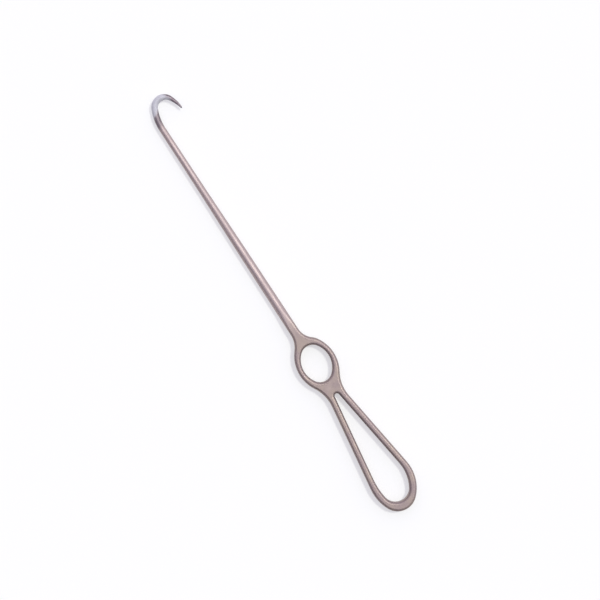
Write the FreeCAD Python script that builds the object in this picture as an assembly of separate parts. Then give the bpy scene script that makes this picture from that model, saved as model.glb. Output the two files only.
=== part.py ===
import FreeCAD, Part
import math
import os

# Surgical bone hook, forged in one piece: a sharp U-shaped hook on a round tapering shaft,
# an oval finger ring and a drop-shaped loop handle. All of it lies in one plane.
# Sizes are in millimetres and degrees.
# The origin is under the middle of the web between the ring and the loop, on the surface that
# the handle lies on. +Y runs along the shaft towards the hook, +X is the side that the hook
# points to, and +Z is up.

# Handle stock
handle_thickness = 5.6
edge_rounding = 1.3
rounding_limit = 0.47       # the most that edges are rounded, as a share of the thinnest wall

# Finger ring
ring_offset = 0.55          # how far the ring stands to the hook's side of the shaft's line
ring_hole_length = 18.8
ring_hole_width = 14.1
ring_side_band = 2.73
ring_end_band = 4.3
ring_hole_lean = 6.0        # degrees that the hole leans over to the hook's side
ring_lean = 2.5             # the same for the ring's outline
ring_drop = 0.35            # how far the outline's middle stands from the hole's, towards the loop
oval_end_share = 0.8        # radius of the arcs at an oval's ends, as a share of its half width
near_flare_radius = 9.0     # hollow corner between ring and shaft on the hook's side
far_flare_radius = 11.5     # the same on the other side
neck_radius = 18.0          # hollow corners between the ring and the loop

# Loop handle
loop_offset = 0.4           # how far the loop stands to the hook's side of the shaft's line
web_length = 7.65           # solid metal between the ring's hole and the loop's hole
loop_hole_length = 60.1
loop_top_radius = 1.2
loop_side_slope = 8.05      # degrees that each straight side spreads from the shaft's line
loop_side_band = 3.2
loop_end_band = 4.5
near_draw_in = 4.2          # how far the round end stands in from the line of the hook-side bar
far_draw_in = 2.0           # the same from the line of the other bar
near_belly_radius = 19.0
far_belly_radius = 22.0
hole_near_draw_in = 2.7     # the same four sizes for the loop's hole
hole_far_draw_in = 1.2
hole_near_belly_radius = 19.5
hole_far_belly_radius = 34.0

# Shaft
root_blend_length = 9.0     # where the square root of the shaft turns round
root_flat_angle = 14.0      # half the angle on the round shaft that each flat of the root runs into
shaft_root_length = 34.0    # the shaft's three tapers, of which the middle one is the quickest
shaft_middle_length = 33.0
shaft_end_length = 37.0
shaft_root_diameter = 4.6
shaft_upper_diameter = 4.22
shaft_lower_diameter = 3.46
shaft_end_diameter = 3.15

# Hook
lead_radius = 24.0
lead_turn = 25.0
bend_radius = 5.0
bend_turn = 126.0
beak_radius = 18.0
beak_turn = 20.0
taper_length = 10.8         # the last stretch of these arcs, drawn down from the full bar
taper_end_diameter = 1.0
point_length = 1.3          # the sharp point ground on the end of the taper

# Lengths and turns under these count as nothing when edges are picked or arcs are split
smallest_step = 0.001
smallest_corner = 5.0       # degrees

# Sign of X on the hook's side of the shaft, and on the other side
near, far = 1, -1

# Worked out from the sizes above
middle_z = handle_thickness / 2
root_half_width = shaft_root_diameter / 2
ring_half_length = ring_hole_length / 2 + ring_end_band
ring_half_width = ring_hole_width / 2 + ring_side_band
ring_y = web_length / 2 + ring_hole_length / 2
loop_hole_top_y = -web_length / 2
loop_hole_end_y = loop_hole_top_y - loop_hole_length
loop_end_y = loop_hole_end_y - loop_end_band
widest_flare = max(near_flare_radius, far_flare_radius)
flare_reach = math.sqrt((ring_half_length + widest_flare) ** 2 - (root_half_width + widest_flare) ** 2)
root_y = ring_y + flare_reach
shaft_start_y = root_y + root_blend_length
shaft_middle_y = shaft_start_y + shaft_root_length
shaft_thin_y = shaft_middle_y + shaft_middle_length
hook_start_y = shaft_thin_y + shaft_end_length
thinnest_wall = min(handle_thickness, ring_side_band, ring_end_band, loop_side_band, loop_end_band)
rounding = min(edge_rounding, rounding_limit * thinnest_wall)
outside_bellies = {near: (near_draw_in, near_belly_radius), far: (far_draw_in, far_belly_radius)}
hole_bellies = {
    near: (hole_near_draw_in, hole_near_belly_radius),
    far: (hole_far_draw_in, hole_far_belly_radius),
}


def at(x, y, z=0.0):
    return FreeCAD.Vector(x, y, z)


def direction(angle):
    """Unit vector in the plane of the hook, turned by an angle in degrees from +X towards +Y."""
    return at(math.cos(math.radians(angle)), math.sin(math.radians(angle)))


def plate(outline):
    """Flat plate of the handle's full thickness inside a closed wire at z = 0."""
    return Part.Face(outline).extrude(at(0, 0, handle_thickness))


def arc_between(centre, start, end, bulge):
    """Arc about a centre from one point to another, passing on the side that bulge points to."""
    radius = (start - centre).Length
    middle = (start - centre) + (end - centre)
    if middle.Length < smallest_step or middle.dot(bulge) < 0:
        middle = bulge
    return Part.Arc(start, centre + middle.normalize() * radius, end).toShape()


def oval(half_length, half_width, lean, centre_y):
    """The ring's outline or its hole: an oval of four tangent arcs that leans to the hook's side."""
    end_radius = oval_end_share * half_width
    end_centre = half_length - end_radius
    side_radius = (end_centre ** 2 + half_width ** 2 - end_radius ** 2) / (2 * (half_width - end_radius))
    side_centre = side_radius - half_width
    joint = at(side_centre, end_centre).normalize() * side_radius - at(side_centre, 0)
    x, y = joint.x, joint.y
    edges = [
        Part.Arc(at(x, -y), at(half_width, 0), at(x, y)).toShape(),
        Part.Arc(at(x, y), at(0, half_length), at(-x, y)).toShape(),
        Part.Arc(at(-x, y), at(-half_width, 0), at(-x, -y)).toShape(),
        Part.Arc(at(-x, -y), at(0, -half_length), at(x, -y)).toShape(),
    ]
    shape = Part.Wire(edges)
    shape.rotate(at(0, 0), at(0, 0, 1), -lean)
    shape.translate(at(ring_offset, centre_y))
    return shape


def loop_side_x(y, inset):
    """Distance from the loop's centre line to its straight side, at a height y.

    The hole's sides touch the small arc at its top, and the outer sides are a band further out.
    """
    slope = math.radians(loop_side_slope)
    top_centre_y = loop_hole_top_y - loop_top_radius
    hole_x = loop_top_radius / math.cos(slope) + (top_centre_y - y) * math.tan(slope)
    return hole_x + (loop_side_band - inset) / math.cos(slope)


def loop_end_circle(inset, end_y, near_in, far_in):
    """Centre and radius of the loop's round end, which stands in from both straight sides."""
    slope = math.radians(loop_side_slope)
    room = 2 * loop_side_x(end_y, inset) * math.cos(slope) - near_in - far_in
    radius = room / (2 * (1 + math.sin(slope)))
    shift = (far_in - near_in) / (2 * math.cos(slope))
    return at(loop_offset + shift, end_y + radius), radius


def loop_belly(side, draw_in, belly_radius, end_centre, end_radius):
    """One side of the loop's belly: an arc from the straight side into the round end."""
    slope = math.radians(loop_side_slope)
    down = at(side * math.sin(slope), -math.cos(slope))
    outward = at(side * math.cos(slope), math.sin(slope))
    radius = max(belly_radius, end_radius + draw_in)
    spare = radius - end_radius
    up_shift = math.sqrt(2 * spare * draw_in - draw_in ** 2)
    centre = end_centre - outward * (spare - draw_in) - down * up_shift
    from_side = centre + outward * radius
    into_end = end_centre + (end_centre - centre).normalize() * end_radius
    return from_side, into_end, arc_between(centre, from_side, into_end, outward)


def loop_outline(inset, end_y, top_y, bellies):
    """Closed outline of the loop: straight sides, two belly arcs, a round end and a top.

    With no inset it is the loop's outside, cut off square at top_y, and with the band's width
    it is the hole, which has a small arc at its top. The bellies hold each side's draw-in and
    radius.
    """
    slope = math.radians(loop_side_slope)
    end_centre, end_radius = loop_end_circle(inset, end_y, bellies[near][0], bellies[far][0])
    near_start, near_end, near_arc = loop_belly(near, *bellies[near], end_centre, end_radius)
    far_start, far_end, far_arc = loop_belly(far, *bellies[far], end_centre, end_radius)
    end_arc = arc_between(end_centre, near_end, far_end, at(0, -1))
    if inset > 0:
        top_centre = at(loop_offset, top_y - loop_top_radius)
        near_top = top_centre + at(math.cos(slope), math.sin(slope)) * loop_top_radius
        far_top = top_centre + at(-math.cos(slope), math.sin(slope)) * loop_top_radius
        top = arc_between(top_centre, far_top, near_top, at(0, 1))
    else:
        near_top = at(loop_offset + loop_side_x(top_y, inset), top_y)
        far_top = at(loop_offset - loop_side_x(top_y, inset), top_y)
        top = Part.LineSegment(far_top, near_top).toShape()
    near_side = Part.LineSegment(near_top, near_start).toShape()
    far_side = Part.LineSegment(far_start, far_top).toShape()
    return Part.Wire([near_side, near_arc, end_arc, far_arc, far_side, top])


def upright_corners(shape, low_y, high_y):
    """Edges along Z that stand between two heights y, apart from smooth joints between faces."""
    found = []
    for edge in shape.Edges:
        box = edge.BoundBox
        upright = box.XLength + box.YLength < smallest_step
        if upright and low_y < box.Center.y < high_y:
            sides = shape.ancestorsOfType(edge, Part.Face)
            normals = [side.normalAt(*side.Surface.parameter(box.Center)) for side in sides]
            turn = math.degrees(normals[0].getAngle(normals[1]))
            if turn > smallest_corner:
                found.append(edge)
    return found


def make_blank():
    """The handle's solid plate: ring, loop and the shaft's root, with hollow corners between."""
    ring = plate(oval(ring_half_length, ring_half_width, ring_lean, ring_y - ring_drop))
    loop = plate(loop_outline(0, loop_end_y, ring_y, outside_bellies))
    root = Part.makeBox(2 * root_half_width, flare_reach, handle_thickness, at(-root_half_width, ring_y))
    blank = ring.fuse([loop, root]).removeSplitter()
    necks = upright_corners(blank, ring_y - ring_half_length, ring_y)
    blank = blank.makeFillet(neck_radius, necks)
    for side, radius in ((near, near_flare_radius), (far, far_flare_radius)):
        corners = upright_corners(blank, ring_y, ring_y + ring_half_length)
        corner = max(corners, key=lambda edge: side * edge.BoundBox.Center.x)
        blank = blank.makeFillet(radius, [corner])
    return blank


def make_handle():
    """The handle with its two holes and every rim rounded, up to the square end of the root."""
    ring_hole = plate(oval(ring_hole_length / 2, ring_hole_width / 2, ring_hole_lean, ring_y))
    loop_hole = plate(loop_outline(loop_side_band, loop_hole_end_y, loop_hole_top_y, hole_bellies))
    handle = make_blank().cut([ring_hole, loop_hole])
    rims = []
    for edge in handle.Edges:
        box = edge.BoundBox
        on_root_end = box.YMin > root_y - smallest_step
        if box.ZLength < smallest_step and not on_root_end:
            rims.append(edge)
    return handle.makeFillet(rounding, rims)


def root_section():
    """Rounded rectangle across the shaft's root: four flats and four corner arcs."""
    wide = root_half_width - rounding
    high = middle_z - rounding
    diagonal = rounding * math.sqrt(0.5)
    edges = []
    for x_sign, z_sign in ((1, 1), (-1, 1), (-1, -1), (1, -1)):
        on_side = at(x_sign * root_half_width, root_y, middle_z + z_sign * high)
        on_face = at(x_sign * wide, root_y, middle_z + z_sign * middle_z)
        middle = at(x_sign * (wide + diagonal), root_y, middle_z + z_sign * (high + diagonal))
        if x_sign == z_sign:
            edges.append(Part.Arc(on_side, middle, on_face).toShape())
            across = at(-x_sign * wide, root_y, on_face.z)
            edges.append(Part.LineSegment(on_face, across).toShape())
        else:
            edges.append(Part.Arc(on_face, middle, on_side).toShape())
            down = at(on_side.x, root_y, middle_z - z_sign * high)
            edges.append(Part.LineSegment(on_side, down).toShape())
    return Part.Wire(edges)


def shaft_section():
    """The shaft's circle in eight arcs, which meet the root's flats and corners one by one."""
    edges = []
    for quarter in range(4):
        first = 90 * quarter + root_flat_angle
        second = 90 * (quarter + 1) - root_flat_angle
        third = second + 2 * root_flat_angle
        for angles in ((first, (first + second) / 2, second), (second, (second + third) / 2, third)):
            stations = []
            for angle in angles:
                reach = direction(angle) * root_half_width
                stations.append(at(reach.x, shaft_start_y, middle_z + reach.y))
            edges.append(Part.Arc(*stations).toShape())
    return Part.Wire(edges)


def make_root_blend():
    """The stretch where the handle's squarish section turns into the round shaft."""
    return Part.makeLoft([root_section(), shaft_section()], True, True)


def make_shaft():
    """The round shaft, drawn down from its root to the hook in three slight tapers."""
    start = at(0, shaft_start_y, middle_z)
    half = Part.makePolygon([
        start,
        at(shaft_root_diameter / 2, shaft_start_y, middle_z),
        at(shaft_upper_diameter / 2, shaft_middle_y, middle_z),
        at(shaft_lower_diameter / 2, shaft_thin_y, middle_z),
        at(shaft_end_diameter / 2, hook_start_y, middle_z),
        at(0, hook_start_y, middle_z),
        start,
    ])
    return Part.Face(half).revolve(start, at(0, 1, 0), 360)


def turned(point, heading, radius, turn):
    """Point and heading after following an arc that turns to the hook's side."""
    chord = 2 * radius * math.sin(math.radians(turn / 2))
    return point + direction(heading - turn / 2) * chord, heading - turn


def cross_section(point, heading, diameter):
    """Circle square to the hook's centre line."""
    return Part.Wire(Part.Circle(point, direction(heading), diameter / 2).toShape())


def round_bar(point, heading, radius, turn):
    """Round stock of the shaft's end diameter, bent through an arc."""
    section = Part.Face(cross_section(point, heading, shaft_end_diameter))
    centre = point + direction(heading - 90) * radius
    return section.revolve(centre, at(0, 0, -1), turn)


def split_where_taper_starts():
    """The hook's arcs in two lists: those of full thickness, and those of the taper."""
    full = [(lead_radius, lead_turn), (bend_radius, bend_turn), (beak_radius, beak_turn)]
    tapered = []
    to_go = taper_length
    while full and to_go > smallest_step:
        radius, turn = full.pop()
        length = radius * math.radians(turn)
        if length > to_go + smallest_step:
            tapered_turn = math.degrees(to_go / radius)
            full.append((radius, turn - tapered_turn))
            turn = tapered_turn
        tapered.insert(0, (radius, turn))
        to_go -= length
    return full, tapered


def sharp_point(point, heading):
    """The ground point: its sides curve in evenly from the end of the taper to a sharp tip."""
    radius = taper_end_diameter / 2
    along = direction(heading)
    outward = direction(heading + 90)
    side_radius = (radius ** 2 + point_length ** 2) / (2 * radius)
    side_centre = point + outward * (radius - side_radius)
    tip = point + along * point_length
    shoulder = point + outward * radius
    side = arc_between(side_centre, shoulder, tip, along)
    half = Part.Wire([
        Part.LineSegment(point, shoulder).toShape(),
        side,
        Part.LineSegment(tip, point).toShape(),
    ])
    return Part.Face(half).revolve(point, along, 360)


def make_taper(point, heading, arcs):
    """The tapered stretch along the given arcs, drawn down from the full bar, with its point."""
    wide_end = cross_section(point, heading, shaft_end_diameter)
    spine = []
    for radius, turn in arcs:
        halfway, _ = turned(point, heading, radius, turn / 2)
        following, heading = turned(point, heading, radius, turn)
        spine.append(Part.Arc(point, halfway, following).toShape())
        point = following
    horn = Part.BRepOffsetAPI.MakePipeShell(Part.Wire(spine))
    horn.setBiNormalMode(at(0, 0, 1))
    horn.add(wide_end, False, False)
    horn.add(cross_section(point, heading, taper_end_diameter), False, False)
    horn.build()
    horn.makeSolid()
    return horn.shape().fuse(sharp_point(point, heading))


def make_hook():
    """The hook: a gentle lead off the shaft, the bend, and a beak that tapers to a point."""
    full, tapered = split_where_taper_starts()
    point = at(0, hook_start_y, middle_z)
    heading = 90
    pieces = []
    for radius, turn in full:
        pieces.append(round_bar(point, heading, radius, turn))
        point, heading = turned(point, heading, radius, turn)
    taper = make_taper(point, heading, tapered)
    return taper.fuse(pieces)


def make_bone_hook():
    """The whole forging as one solid."""
    pieces = [make_root_blend(), make_shaft(), make_hook()]
    return make_handle().fuse(pieces).removeSplitter()


os.makedirs("parts", exist_ok=True)
bone_hook = make_bone_hook()
bone_hook.exportStep("parts/bone_hook.step")
box = bone_hook.optimalBoundingBox(False)
print("solids", len(bone_hook.Solids), "valid", bone_hook.isValid(), "closed", bone_hook.isClosed())
print("volume", round(bone_hook.Volume, 1), "length", round(box.YLength, 2))
print("width", round(box.XLength, 2), "height", round(box.ZLength, 2), "lowest", round(box.ZMin, 4))
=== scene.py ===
# %% [markdown]
# # A surgical bone hook in satin steel
#
# The instrument is one forging: a sharp hook, a round shaft, a finger ring and a long loop to pull
# on. Its exact solid comes from the CAD frame. This lesson gives it the skin of a real instrument
# and lights it as a plain catalogue picture, seen from straight above.

# %% Load the frame
import math

import bpy
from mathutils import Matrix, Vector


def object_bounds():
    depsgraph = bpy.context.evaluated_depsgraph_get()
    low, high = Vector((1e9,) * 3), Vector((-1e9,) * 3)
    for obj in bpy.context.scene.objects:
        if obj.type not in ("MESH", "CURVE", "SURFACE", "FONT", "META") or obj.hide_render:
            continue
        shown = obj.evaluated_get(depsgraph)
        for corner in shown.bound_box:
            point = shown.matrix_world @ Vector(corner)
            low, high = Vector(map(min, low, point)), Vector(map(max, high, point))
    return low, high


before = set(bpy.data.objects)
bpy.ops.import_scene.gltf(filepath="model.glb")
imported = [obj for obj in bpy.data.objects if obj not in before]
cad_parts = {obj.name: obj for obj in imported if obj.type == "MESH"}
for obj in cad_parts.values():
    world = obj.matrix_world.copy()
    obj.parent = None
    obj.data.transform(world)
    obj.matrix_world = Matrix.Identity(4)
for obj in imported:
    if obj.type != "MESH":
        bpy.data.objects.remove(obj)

MM = 0.001
cad_low, cad_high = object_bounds()
steel_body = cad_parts["bone_hook"]
print("forging, mm:", [round((high - low) / MM, 1) for low, high in zip(cad_low, cad_high)])

# %% [markdown]
# ## Shader maths as expressions
#
# A node tree is easier to read as arithmetic. `Value` wraps one output socket, and adding or
# multiplying two values adds the Math node that does it. `Tree.node` makes every other node: its
# type first, then its settings, then what goes into its sockets.


# %% A value in a shader
class Value:
    """One number in a node tree that Python's arithmetic works on."""

    def __init__(self, tree, socket):
        self.tree = tree
        self.socket = socket

    def math(self, operation, first, second):
        return self.tree.node("ShaderNodeMath", {"operation": operation}, {0: first, 1: second})

    def __add__(self, other):
        return self.math("ADD", self, other)

    def __radd__(self, other):
        return self.math("ADD", other, self)

    def __sub__(self, other):
        return self.math("SUBTRACT", self, other)

    def __rsub__(self, other):
        return self.math("SUBTRACT", other, self)

    def __mul__(self, other):
        return self.math("MULTIPLY", self, other)

    def __rmul__(self, other):
        return self.math("MULTIPLY", other, self)


print("Value:", Value.__doc__)


# %% A tree that makes nodes
class Tree:
    """A node tree, with one method that makes any node and sets it up."""

    def __init__(self, owner):
        self.owner = owner
        owner.use_nodes = True
        self.nodes = owner.node_tree.nodes
        self.links = owner.node_tree.links
        self.nodes.clear()

    def node(self, kind, settings=None, sockets=None, out=0):
        made = self.nodes.new(kind)
        for name, setting in (settings or {}).items():
            setattr(made, name, setting)
        for name, value in (sockets or {}).items():
            if isinstance(value, Value):
                self.links.new(value.socket, made.inputs[name])
            else:
                made.inputs[name].default_value = value
        return Value(self, made.outputs[out]) if len(made.outputs) else made


print("Tree:", Tree.__doc__)


# %% [markdown]
# ## One bar, several finishes
#
# The bar doesn't look the same all along. The handle is a grey-brown satin, as glass beads leave
# it. The shaft is lighter, and lines run along it, as a fine belt leaves them. The tight bend is
# painted a pale violet, which is a painted reflection, and a band of painted shade lies across the
# shaft just before it. The outer half of the beak is darker again, painted shade as well.
#
# These could be several materials on several sets of faces, but then the borders would be hard
# steps. Here one material asks where a point lies on the instrument and blends from finish to
# finish. Object coordinates answer that in metres from the object's own origin.

# %% Blends by place
def blend(tree, value, first, last):
    """Goes smoothly from 0 to 1 as a value goes from first to last."""
    return tree.node(
        "ShaderNodeMapRange",
        {"interpolation_type": "SMOOTHSTEP"},
        {"Value": value, "From Min": first, "From Max": last},
    )


def mixed(tree, share, first, second):
    """One colour turned into another by a share from 0 to 1."""
    return tree.node("ShaderNodeMix", {"data_type": "RGBA"}, {"Factor": share, 6: first, 7: second}, out=2)


def without_sign(tree, value):
    return tree.node("ShaderNodeMath", {"operation": "ABSOLUTE"}, {0: value})


def along_way(tree, place, way):
    """How far a place lies along a direction of length 1."""
    return tree.node(
        "ShaderNodeVectorMath", {"operation": "DOT_PRODUCT"}, {0: place, 1: way}, out="Value"
    )


def left_of(tree, place, start, end, width):
    """Is 1 to the left of the line from start to end, seen from above, and 0 to its right, in mm."""
    run = math.dist(start, end)
    left = ((start[1] - end[1]) / run, (end[0] - start[0]) / run, 0.0)
    level = left[0] * start[0] + left[1] * start[1]
    reach = along_way(tree, place, left)
    return blend(tree, reach, (level - width / 2) * MM, (level + width / 2) * MM)


print("blends:", [helper.__name__ for helper in (blend, mixed, left_of)])

# %% [markdown]
# ## Grain, belt lines and hairlines
#
# Blasting leaves a grain much finer than a millimetre, the same in every direction. A belt leaves
# lines. Both start from the same noise, and only the coordinates differ: squeezed along Y, the
# grain is drawn out into lines. A tray leaves a few hairlines. They are thin level lines of a
# squeezed noise, kept only where a second, cloudy noise is high, so that they come in patches.

# %% Noise, plain or drawn out
NOISE_MEAN = 0.5
NOISE_ROUGHNESS = 0.6
NOISE_DETAIL = 2.0
CLOUDY_DETAIL = 3.0
SQUEEZE = 0.012
HAIRLINE_SCALE = 600.0
HAIRLINE_WIDTH = 0.010


def noise(tree, place, scale, detail=NOISE_DETAIL):
    return tree.node(
        "ShaderNodeTexNoise",
        sockets={"Vector": place, "Scale": scale, "Detail": detail, "Roughness": NOISE_ROUGHNESS},
    )


def drawn_out(tree, place, turn, depth=1.0):
    """Coordinates turned about Z, then squeezed along their Y, so that a pattern on them gets long.

    With a depth of 0 the pattern is the same at every height."""
    turned = tree.node(
        "ShaderNodeMapping",
        {"vector_type": "POINT"},
        {"Vector": place, "Rotation": (0.0, 0.0, math.radians(turn))},
    )
    return tree.node(
        "ShaderNodeVectorMath", {"operation": "MULTIPLY"}, {0: turned, 1: (1.0, SQUEEZE, depth)}
    )


def hairlines(tree, place, turn):
    """Is 1 on thin lines that run mostly one way, and 0 beside them."""
    wave = noise(tree, drawn_out(tree, place, turn, depth=0.0), HAIRLINE_SCALE, detail=0.0)
    return 1 - blend(tree, without_sign(tree, wave - NOISE_MEAN), 0.0, HAIRLINE_WIDTH)


print("patterns get longer by a factor of", round(1 / SQUEEZE))

# %% [markdown]
# ## The steel
#
# Bare steel is a metal, so its colour is the colour of its reflections, and its roughness says how
# far they are smeared. The numbers below are the finishes in the order in which they lie on the
# bar. The bend is less metallic than the rest, so that its pale violet, a painted reflection, shows
# evenly all round it.
#
# Nothing real has one flat tint, so a cloudy noise moves the handle between a warm and a cool
# brown-grey and shifts the gloss a little everywhere. Hands polish what sticks out: on the handle
# that is the rounded rims, and those are all the places below the flat top and above the flat
# underside, which the height tells.

# %% Finishes of the forging
HANDLE_WARM = (0.374, 0.305, 0.273, 1.0)
HANDLE_COOL = (0.358, 0.288, 0.285, 1.0)
SHAFT_TINT = (0.510, 0.423, 0.414, 1.0)
# painted shade: a dark band on the shaft's end, just before the bend
EDGE_PAINTED_SHADE = (0.290, 0.245, 0.262, 1.0)
# painted reflection: the pale violet of the bend and the hook
BEND_PAINTED_REFLECTION = (0.580, 0.575, 0.615, 1.0)
# painted shade: the dark outer half of the beak
BEAK_PAINTED_SHADE = (0.235, 0.190, 0.215, 1.0)
HANDLE_ROUGHNESS = 0.57
SHAFT_ROUGHNESS = 0.60
BEND_ROUGHNESS = 0.72
BEAK_ROUGHNESS = 0.50
BEND_METAL = 0.30
MIDDLE_PLANE = (cad_low[2] + cad_high[2]) / 2
FLAT_REACH = (cad_high[2] - cad_low[2]) / 2
print("middle plane, mm:", round(MIDDLE_PLANE / MM, 2), "flats, mm from it:", round(FLAT_REACH / MM, 2))

# %% [markdown]
# ## Borders between the finishes
#
# Three borders cross the hook aslant, so each is a line through two points, seen from above, and
# a width in mm over which one finish turns into the next. The others follow one coordinate and
# only need a start and an end. A slow noise moves the borders on the hook by a fraction of a
# millimetre, so that the painted shade and painted reflection there don't end in straight lines.

# %% Where the borders run
HANDLE_TO_SHAFT = (26 * MM, 46 * MM)
DARK_BORDER = ((-1.8, 147.4), (3.5, 150.5), 3.6)
BEND_BORDER = ((-1.8, 153.0), (3.5, 156.1), 1.8)
BEAK_BORDER = ((9.5, 160.8), (12.6, 152.5), 1.8)
HOOK_SIDE = (3.5 * MM, 5.0 * MM)
DARK_FROM = (144 * MM, 147 * MM)
BEND_FROM = (147 * MM, 150 * MM)
RIM_DEPTH = 0.9 * MM
RIM_START = 0.1 * MM
BORDER_SCALE = 300.0
BORDER_SWING = 2.4 * MM
print("bend's border, mm:", BEND_BORDER[:2], "beak's border, mm:", BEAK_BORDER[:2])


# %% Where each finish lies
def uneven(tree, place):
    """Coordinates that wander by a fraction of a millimetre."""
    wander = tree.node(
        "ShaderNodeTexNoise", sockets={"Vector": place, "Scale": BORDER_SCALE, "Detail": CLOUDY_DETAIL}, out=1
    )
    swing = tree.node(
        "ShaderNodeVectorMath", {"operation": "SUBTRACT"}, {0: wander, 1: (NOISE_MEAN,) * 3}
    )
    return tree.node(
        "ShaderNodeVectorMath",
        {"operation": "MULTIPLY_ADD"},
        {0: swing, 1: (BORDER_SWING,) * 3, 2: place},
    )


def finish_places(tree, place):
    """The shares of shaft, painted shade before the bend, painted reflection on the bend, painted shade on
    the beak and rubbed rim, each from 0 to 1.
    """
    across, along, height = [
        tree.node("ShaderNodeSeparateXYZ", sockets={0: place}, out=axis) for axis in range(3)
    ]
    shaft = blend(tree, along, *HANDLE_TO_SHAFT)
    hook_place = uneven(tree, place)
    beyond_lead = left_of(tree, hook_place, *BEND_BORDER)
    near_lead = left_of(tree, hook_place, *DARK_BORDER)
    hook_side = blend(tree, across, *HOOK_SIDE)
    # the bend's share: where the painted reflection goes
    bend = tree.node("ShaderNodeMath", {"operation": "MAXIMUM"}, {0: beyond_lead, 1: hook_side})
    bend = bend * blend(tree, along, *BEND_FROM)
    # painted shade: the dark band on the shaft's end before the bend
    painted_edge_shade = near_lead * (1 - beyond_lead) * (1 - hook_side) * blend(tree, along, *DARK_FROM)
    # painted shade: the beak's outer half
    beak = bend * left_of(tree, hook_place, *BEAK_BORDER)
    off_middle = without_sign(tree, height - MIDDLE_PLANE)
    below_flat = 1 - blend(tree, off_middle, FLAT_REACH - RIM_DEPTH, FLAT_REACH - RIM_START)
    return shaft, painted_edge_shade, bend, beak, (1 - shaft) * below_flat


print("rims lie, mm from the middle plane:", round((FLAT_REACH - RIM_START) / MM, 2), "and less")

# %% [markdown]
# ## Strength of the patterns
#
# Scales are in waves per metre: clouds are about a centimetre wide, the mottle under one
# millimetre, and the grain and the belt lines finer still. The strengths are small, since a
# finish is seen as one colour first and as a pattern second.

# %% Patterns of the steel
CLOUD_SCALE = 110.0
CLOUD_EDGES = (0.35, 0.65)
CLOUD_MEAN = 0.5
MOTTLE_SCALE = 1300.0
GRAIN_SCALE = 7000.0
LINE_SCALE = 6000.0
HAIRLINE_TURNS = (50, -25)
SHAFT_CALM = 0.75
TINT_SHIFT = {"mottle": 0.32, "grain": 0.30, "lines": 0.36, "rim": 0.05, "scratch": 0.05}
GLOSS_SHIFT = {"clouds": 0.06, "mottle": 0.12, "lines": 0.20, "rim": 0.05, "scratch": 0.10}
SCRATCH_RELIEF = 0.15
RELIEF_STRENGTH = 0.7
RELIEF_DEPTH = 0.014 * MM
print("clouds, mm:", round(1 / CLOUD_SCALE / MM, 1), "grain, mm:", round(1 / GRAIN_SCALE / MM, 2))


# %% Satin steel
def satin_steel():
    tree = Tree(bpy.data.materials.new("satin_steel"))
    place = tree.node("ShaderNodeTexCoord", out=3)
    shaft, painted_edge_shade, bend, beak, rim = finish_places(tree, place)

    clouds = blend(tree, noise(tree, place, CLOUD_SCALE, CLOUDY_DETAIL), *CLOUD_EDGES)
    mottle = noise(tree, place, MOTTLE_SCALE, CLOUDY_DETAIL)
    grain = noise(tree, place, GRAIN_SCALE)
    lines = noise(tree, drawn_out(tree, place, 0), LINE_SCALE)
    first_wipe, second_wipe = [hairlines(tree, place, turn) for turn in HAIRLINE_TURNS]
    scratches = (1 - shaft) * clouds * (1 - rim) * (first_wipe + second_wipe)
    off_mottle, off_grain, off_lines = mottle - NOISE_MEAN, grain - NOISE_MEAN, lines - NOISE_MEAN

    tint = mixed(tree, shaft, mixed(tree, clouds, HANDLE_WARM, HANDLE_COOL), SHAFT_TINT)
    # the pale bend is a painted reflection, and the dark band before it is painted shade
    tint = mixed(tree, bend, mixed(tree, painted_edge_shade, tint, EDGE_PAINTED_SHADE), BEND_PAINTED_REFLECTION)
    # the beak's outer half: painted shade
    tint = mixed(tree, beak, tint, BEAK_PAINTED_SHADE)
    speckle = TINT_SHIFT["mottle"] * off_mottle + TINT_SHIFT["grain"] * off_grain
    shade = 1 + (1 - SHAFT_CALM * shaft) * speckle + TINT_SHIFT["lines"] * shaft * off_lines
    shade = shade + TINT_SHIFT["rim"] * rim + TINT_SHIFT["scratch"] * scratches
    tint = tree.node("ShaderNodeVectorMath", {"operation": "SCALE"}, {0: tint, "Scale": shade})

    rough = HANDLE_ROUGHNESS + (SHAFT_ROUGHNESS - HANDLE_ROUGHNESS) * shaft
    rough = rough + (BEND_ROUGHNESS - SHAFT_ROUGHNESS) * bend + (BEAK_ROUGHNESS - BEND_ROUGHNESS) * beak
    rough = rough + GLOSS_SHIFT["clouds"] * (clouds - CLOUD_MEAN)
    rough = rough + GLOSS_SHIFT["mottle"] * (1 - shaft) * off_mottle
    rough = rough + GLOSS_SHIFT["lines"] * shaft * off_lines
    rough = rough - GLOSS_SHIFT["rim"] * rim - GLOSS_SHIFT["scratch"] * scratches
    # less metallic on the bend, so that its painted reflection shows evenly
    metal = 1 - (1 - BEND_METAL) * bend * (1 - beak)

    relief = grain + shaft * (lines - grain) - SCRATCH_RELIEF * scratches
    bumps = tree.node(
        "ShaderNodeBump",
        sockets={"Strength": RELIEF_STRENGTH, "Distance": RELIEF_DEPTH, "Height": relief},
    )
    skin = tree.node(
        "ShaderNodeBsdfPrincipled",
        sockets={"Base Color": tint, "Metallic": metal, "Roughness": rough, "Normal": bumps},
    )
    tree.node("ShaderNodeOutputMaterial", sockets={"Surface": skin})
    return tree.owner


steel = satin_steel()
steel_body.material_slots[0].material = steel
print("satin steel:", len(steel.node_tree.nodes), "nodes")

# %% [markdown]
# ## Paper
#
# The instrument lies on white paper. Real pictures of this kind are exposed until the paper is
# pure white and only the deepest shadow is left. The same is had here without more light on the
# steel: a part of the paper's white is a glow that only the camera and reflections see. The rest
# is plain diffuse paper, and it carries the shadow. The sheet lies a hair under the steel, because
# two faces in one plane flicker, and it is wide enough to reach the horizon in low views.

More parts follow.
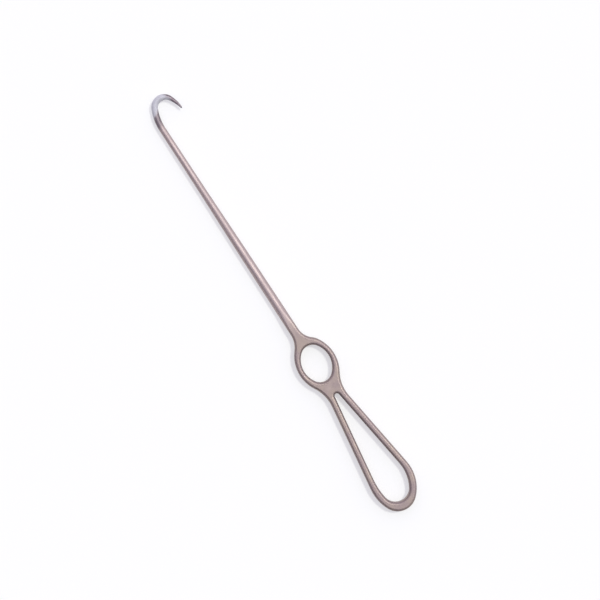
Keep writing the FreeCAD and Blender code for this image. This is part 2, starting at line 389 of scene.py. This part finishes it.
# %% The paper
WHITE = (1.0, 1.0, 1.0, 1.0)
PAPER_WHITE = (0.97, 0.97, 0.97, 1.0)
PAPER_GLOW = 0.52
PAPER_SIDE = 30000 * MM
PAPER_DROP = 0.02 * MM
bpy.ops.object.select_all(action="DESELECT")
bpy.ops.mesh.primitive_plane_add(size=PAPER_SIDE, location=(0, 0, cad_low[2] - PAPER_DROP))
paper_floor = bpy.context.object
paper_floor.name = "paper_floor"
print("paper, m:", [round(side) for side in paper_floor.dimensions])


# %% White paper with a glow
def looked_at(tree):
    """Is 1 for rays that look at a thing, straight or in a mirror or glass, and 0 for light on it."""
    kinds = ("Is Camera Ray", "Is Glossy Ray", "Is Transmission Ray")
    camera_ray, glossy_ray, clear_ray = [tree.node("ShaderNodeLightPath", out=kind) for kind in kinds]
    return camera_ray + glossy_ray + clear_ray


paper_tree = Tree(bpy.data.materials.new("white_paper"))
sheet = paper_tree.node("ShaderNodeBsdfDiffuse", sockets={"Color": PAPER_WHITE})
glow = paper_tree.node("ShaderNodeEmission", sockets={"Color": WHITE, "Strength": 1.0})
seen = paper_tree.node(
    "ShaderNodeMixShader", sockets={0: PAPER_GLOW * looked_at(paper_tree), 1: sheet, 2: glow}
)
paper_tree.node("ShaderNodeOutputMaterial", sockets={"Surface": seen})
paper_floor.data.materials.append(paper_tree.owner)
print("white paper:", len(paper_tree.nodes), "nodes")

# %% [markdown]
# ## One lamp
#
# The shadow tells where the lamp stands. It lies only to the left of the handle, so the lamp leans
# over to the right, towards +X. Its edge is fairly crisp, so the lamp is small in the sky. A sun
# lamp has parallel light, and its angle is the width of that patch of sky.

# %% The key lamp
KEY_TILT = math.radians(26)
KEY_SPREAD = math.radians(8)
KEY_ENERGY = 1.55
KEY_COLOUR = (0.98, 1.02, 0.88)
key_light = bpy.data.lights.new("key", "SUN")
key_light.energy = KEY_ENERGY
key_light.angle = KEY_SPREAD
key_light.color = KEY_COLOUR
key = bpy.data.objects.new("key", key_light)
key.rotation_euler = (0, KEY_TILT, 0)
bpy.context.scene.collection.objects.link(key)
print("key lamp leans", round(math.degrees(KEY_TILT)), "degrees towards +X")

# %% [markdown]
# ## The room in the steel
#
# Metal shows the room more than the lamp. Every bar here is light on its right flank and has a
# dark line along its left one, so the room is bright on the right and nearly dark on the left.
# A world can do that: on a world, the Generated output is the direction looked in, and its dot
# product with the bright direction says how far a direction leans that way. The light is slightly
# violet and the lamp slightly yellow. Together they are nearly neutral, and the shadow, which
# only the room lights, is a little violet.
#
# Just above the horizon the room looks white, as the paper does, so that low views have one ground.

# %% The room
ROOM_TILT = math.radians(38)
ROOM_TURN = math.radians(45)
ROOM_DARK = (0.009, 0.009, 0.010, 1.0)
ROOM_BRIGHT = (0.840, 0.800, 1.000, 1.0)
ROOM_FROM = -0.4
ROOM_TO = 1.0
bright_way = (
    math.sin(ROOM_TILT) * math.cos(ROOM_TURN),
    math.sin(ROOM_TILT) * math.sin(ROOM_TURN),
    math.cos(ROOM_TILT),
)
studio = bpy.data.worlds.new("studio")
bpy.context.scene.world = studio
room_tree = Tree(studio)
way = room_tree.node("ShaderNodeTexCoord", out=0)
leaning = along_way(room_tree, way, bright_way)
wall = mixed(room_tree, blend(room_tree, leaning, ROOM_FROM, ROOM_TO), ROOM_DARK, ROOM_BRIGHT)
walls = room_tree.node("ShaderNodeBackground", sockets={"Color": wall, "Strength": 1.0})
print("bright side of the room:", [round(part, 2) for part in bright_way])

# %% The horizon
HORIZON_FULL = math.sin(math.radians(4))
HORIZON_END = math.sin(math.radians(11))
rise = room_tree.node("ShaderNodeSeparateXYZ", sockets={0: way}, out=2)
low_down = 1 - blend(room_tree, rise, HORIZON_FULL, HORIZON_END)
horizon = room_tree.node("ShaderNodeBackground", sockets={"Color": WHITE, "Strength": 1.0})
room = room_tree.node(
    "ShaderNodeMixShader", sockets={0: low_down * looked_at(room_tree), 1: walls, 2: horizon}
)
room_tree.node("ShaderNodeOutputWorld", sockets={"Surface": room})
print("room:", len(room_tree.nodes), "nodes")

# %% [markdown]
# ## The camera
#
# The picture was taken from straight above, with the instrument lying aslant. A long lens from
# far off keeps the bars from leaning outwards. The camera is turned about its own axis, so that
# the instrument can stay square to the frame's axes.

# %% The camera
VIEW_WIDTH = 286.9 * MM
VIEW_MIDDLE = (10.53 * MM, 42.96 * MM)
VIEW_TURN = math.radians(-33.1)
SENSOR_WIDTH = 36.0
LENS_LENGTH = 100.0
lens = bpy.data.cameras.new("top_view")
lens.sensor_width = SENSOR_WIDTH
lens.lens = LENS_LENGTH
height = VIEW_WIDTH * LENS_LENGTH / SENSOR_WIDTH
camera = bpy.data.objects.new("top_view", lens)
camera.location = (*VIEW_MIDDLE, MIDDLE_PLANE + height)
camera.rotation_euler = (0, 0, VIEW_TURN)
bpy.context.scene.collection.objects.link(camera)
bpy.context.scene.camera = camera
bpy.context.scene.view_settings.view_transform = "Standard"
print("camera height, mm:", round(height / MM))

# %% [markdown]
# ## Sizes
#
# The skin must not change the part's size. The box of the CAD solid was kept at the start.
